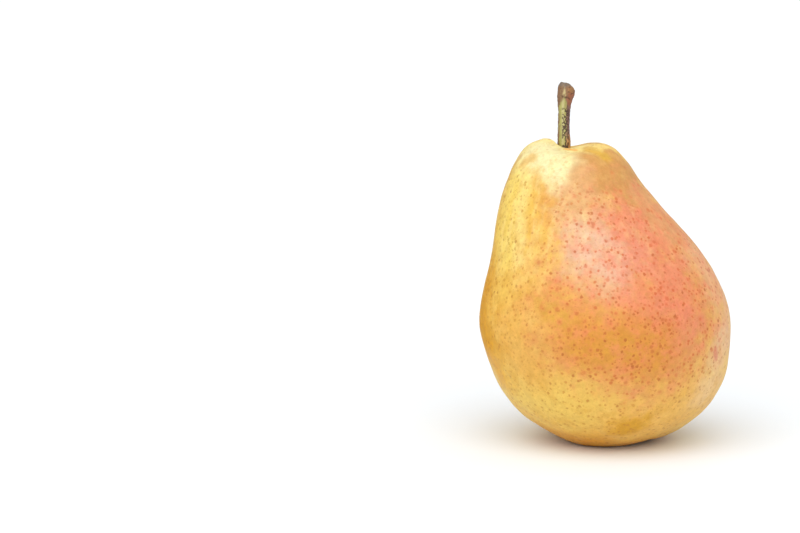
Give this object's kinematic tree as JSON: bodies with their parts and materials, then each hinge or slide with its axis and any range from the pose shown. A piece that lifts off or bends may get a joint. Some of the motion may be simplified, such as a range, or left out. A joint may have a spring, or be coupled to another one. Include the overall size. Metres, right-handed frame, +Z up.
{
  "type": "pear",
  "caption": "Ripe pear with a broad rounded belly, a leaning neck, a short woody stalk and a dried calyx underneath, standing on a small flat spot.",
  "frame": {"origin": "on the plane that the pear rests on, under the middle of the fruit", "axes": "+Z up along the pear's length, +X to the right and +Y to the back of the side that the picture shows"},
  "size_m": [0.0744, 0.0732, 0.106],
  "materials": {
    "skin": "satin waxy pear skin, yellow with a red blush and small dots",
    "bark": "matt woody stalk",
    "dried_flower": "matt dried flower remains"
  },
  "bodies": {
    "root": {"fruit": "skin", "stalk": "bark", "calyx": "dried_flower"}
  },
  "joints": []
}
